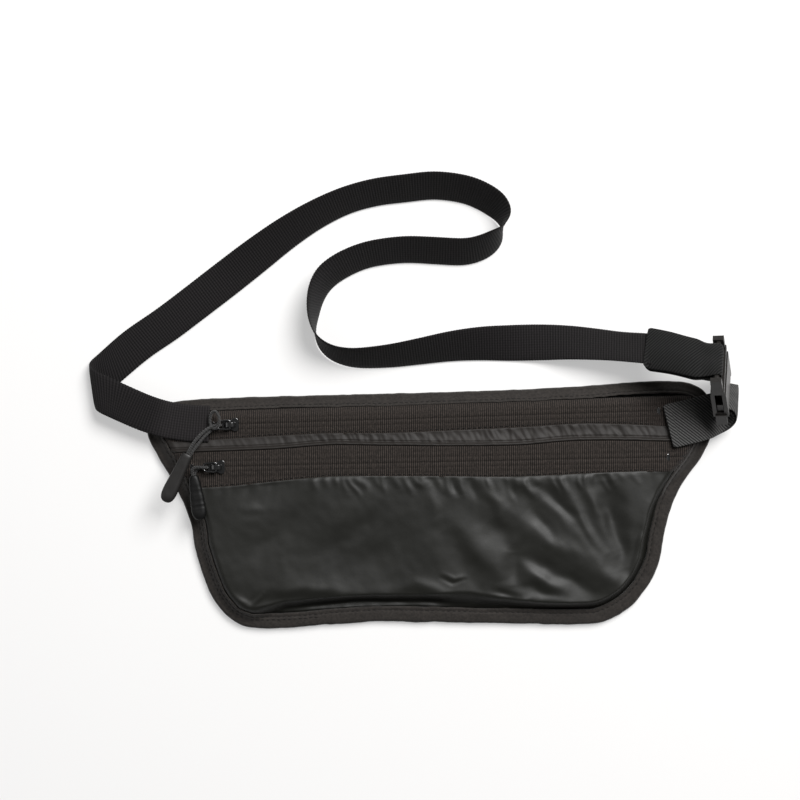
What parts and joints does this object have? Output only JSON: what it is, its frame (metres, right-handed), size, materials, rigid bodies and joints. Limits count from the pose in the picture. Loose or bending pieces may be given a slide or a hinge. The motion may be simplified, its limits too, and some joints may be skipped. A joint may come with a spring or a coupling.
{
  "type": "money belt",
  "caption": "Slim waist pouch in coated nylon with zipped pockets, corded zip pulls, an elastic waist strap and a side-release buckle, lying on its back.",
  "frame": {"origin": "centre of the underside of the back panel, on the surface that the belt lies on", "axes": "+X along the pouch, +Y to its top edge, +Z out of its front"},
  "size_m": [0.3627, 0.2553, 0.0499],
  "materials": {
    "coated_nylon": "satin coated nylon, very dark grey, soft crinkles",
    "binding": "matt woven binding tape with a stitched edge",
    "zip_tape": "matt knitted zip tape with rows of fine stitches",
    "zip_coil": "moulded nylon coil",
    "black_metal": "glossy black painted metal",
    "elastic": "woven elastic with fine ribs across it",
    "webbing": "diagonal twill webbing",
    "cord": "thin braided cord",
    "grip_rubber": "moulded rubber, slightly satin",
    "buckle_plastic": "satin moulded plastic"
  },
  "bodies": {
    "pouch": {"back_panel": "coated_nylon", "divider_panel": "coated_nylon", "middle_strip": "coated_nylon", "front_panel": "coated_nylon", "edge_binding": "binding", "upper_zip_tape_top": "zip_tape", "upper_zip_tape_bottom": "zip_tape", "upper_zip_coil_top": "zip_coil", "upper_zip_coil_bottom": "zip_coil", "upper_zip_stop_left": "black_metal", "upper_zip_stop_right": "black_metal", "lower_zip_tape_top": "zip_tape", "lower_zip_tape_bottom": "zip_tape", "lower_zip_coil_top": "zip_coil", "lower_zip_coil_bottom": "zip_coil", "lower_zip_stop_left": "black_metal", "lower_zip_stop_right": "black_metal", "waist_strap": "elastic", "anchor_tab": "webbing", "buckle_socket": "buckle_plastic"},
    "upper_slider": {"upper_slider_body": "black_metal"},
    "upper_tab": {"upper_pull_tab": "black_metal"},
    "upper_pull": {"upper_pull_cord": "cord", "upper_pull_grip": "grip_rubber"},
    "lower_slider": {"lower_slider_body": "black_metal"},
    "lower_tab": {"lower_pull_tab": "black_metal"},
    "lower_pull": {"lower_pull_cord": "cord", "lower_pull_grip": "grip_rubber"},
    "plug": {"buckle_plug": "buckle_plastic", "strap_tab": "webbing"},
    "prong_low": {"prong_low": "buckle_plastic"},
    "prong_high": {"prong_high": "buckle_plastic"}
  },
  "joints": [
    {"name": "upper_zip_slide", "type": "slide", "parent": "pouch", "child": "upper_slider", "axis": [0.9995, 0.0314, 0], "range_m": [0, 0.229]},
    {"name": "upper_pull_lift", "type": "hinge", "parent": "upper_slider", "child": "upper_tab", "pos_m": [-0.1115, 0.045, 0.0128], "axis": [-0.0314, 0.9995, 0], "range_deg": [0, 105]},
    {"name": "upper_pull_swing", "type": "hinge", "parent": "upper_tab", "child": "upper_pull", "pos_m": [-0.1183, 0.04479, 0.0128], "axis": [0, 0, 1], "range_deg": [-15, 15]},
    {"name": "lower_zip_slide", "type": "slide", "parent": "pouch", "child": "lower_slider", "axis": [0.9998, 0.0209, 0], "range_m": [0, 0.243]},
    {"name": "lower_pull_lift", "type": "hinge", "parent": "lower_slider", "child": "lower_tab", "pos_m": [-0.119, 0.0215, 0.0143], "axis": [-0.0209, 0.9998, 0], "range_deg": [0, 105]},
    {"name": "lower_pull_swing", "type": "hinge", "parent": "lower_tab", "child": "lower_pull", "pos_m": [-0.1258, 0.02136, 0.0143], "axis": [0, 0, 1], "range_deg": [-15, 15]},
    {"name": "buckle_release", "type": "slide", "parent": "pouch", "child": "plug", "axis": [-0.2299, 0.6208, 0.7495], "range_m": [0, 0.022]},
    {"name": "prong_low_press", "type": "hinge", "parent": "plug", "child": "prong_low", "pos_m": [0.15608, 0.06688, 0.03585], "axis": [0.9615, 0.0256, 0.2737], "range_deg": [0, 9], "stiffness_Nm_per_rad": 0.02},
    {"name": "prong_high_press", "type": "hinge", "parent": "plug", "child": "prong_high", "pos_m": [0.15879, 0.08098, 0.025], "axis": [-0.9615, -0.0256, -0.2737], "range_deg": [0, 9], "stiffness_Nm_per_rad": 0.02}
  ],
  "couplings": [
    {"joint": "prong_high_press", "follows": "prong_low_press", "ratio": 1}
  ]
}
